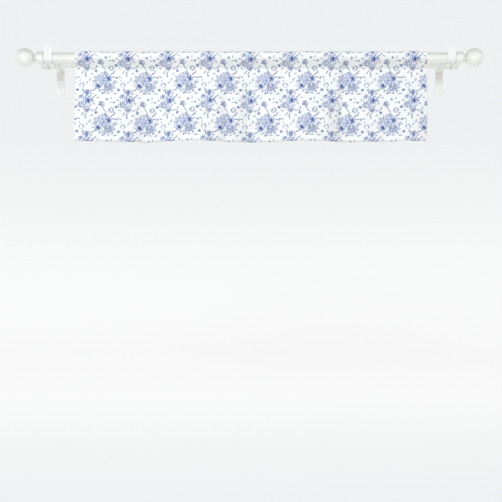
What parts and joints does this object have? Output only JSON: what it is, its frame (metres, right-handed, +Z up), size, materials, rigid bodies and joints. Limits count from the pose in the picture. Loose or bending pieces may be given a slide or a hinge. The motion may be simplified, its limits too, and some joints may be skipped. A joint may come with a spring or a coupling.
{
  "type": "window valance with a rod pocket on its double curtain rod and brackets",
  "caption": "Short flat window valance of printed cloth, hung by its rod pocket from the front rod of a double curtain rod with ball finials, end caps and wall brackets.",
  "frame": {"origin": "on the wall's surface, midway between the two wall plates, level with the middle of their screw slots", "axes": "+X to the right along the rods as seen from the room, +Y into the wall, +Z up"},
  "size_m": [1.5204, 0.161, 0.303],
  "materials": {
    "printed_cloth": "matt plain weave, white with a small blue floral print",
    "ivory_enamel": "glossy ivory enamel",
    "white_enamel": "satin white enamel"
  },
  "bodies": {
    "root": {"valance": "printed_cloth", "front_rod": "ivory_enamel", "rear_rod": "ivory_enamel", "finial_left": "ivory_enamel", "finial_right": "ivory_enamel", "end_cap_left": "ivory_enamel", "end_cap_right": "ivory_enamel", "wall_plate_left": "ivory_enamel", "wall_plate_right": "ivory_enamel", "bracket_arm_left": "ivory_enamel", "bracket_arm_right": "ivory_enamel", "bracket_link_left": "ivory_enamel", "bracket_link_right": "ivory_enamel", "rear_cup_left": "ivory_enamel", "rear_cup_right": "ivory_enamel", "front_cup_left": "white_enamel", "front_cup_right": "white_enamel"}
  },
  "joints": []
}
